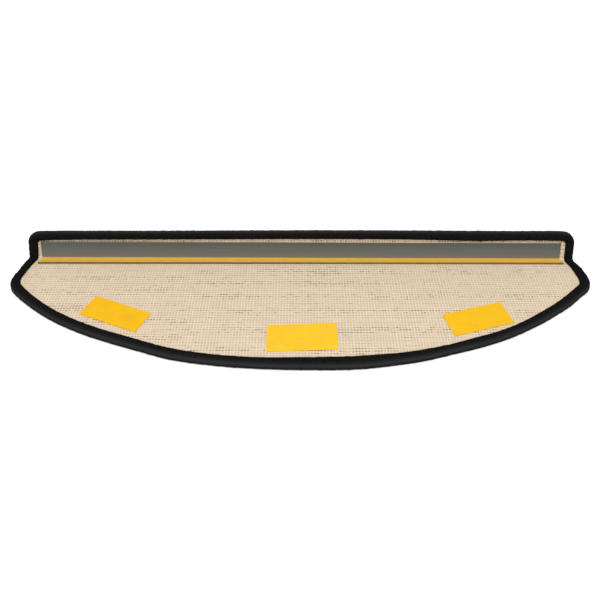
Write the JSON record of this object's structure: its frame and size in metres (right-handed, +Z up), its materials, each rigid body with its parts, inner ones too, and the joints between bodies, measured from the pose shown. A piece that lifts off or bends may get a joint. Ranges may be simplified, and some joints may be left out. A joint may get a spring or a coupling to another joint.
{
  "type": "anti-slip stair tread mat",
  "caption": "Carpet mat with a rounded front and a folded nose flap that hooks over a stair's edge, stiffened by an angle profile, with adhesive pads and tape on its woven underside.",
  "frame": {"origin": "centre of the mat's box in plan, on the surface that it lies on", "axes": "+X along the mat's width, +Y from the rounded front to the flap, +Z up from the pile towards the woven underside"},
  "size_m": [0.65, 0.24, 0.043],
  "materials": {
    "pile": "cut pile",
    "backing": "open leno weave of flat ribbons",
    "binding": "overlocked yarn",
    "profile": "satin extruded",
    "tape": "satin liner",
    "pad": "satin liner"
  },
  "bodies": {
    "root": {"tufted_carpet": "pile", "woven_backing": "backing", "edge_binding": "binding", "angle_profile": "profile", "profile_tape": "tape", "left_adhesive_pad": "pad", "centre_adhesive_pad": "pad", "right_adhesive_pad": "pad"}
  },
  "joints": []
}
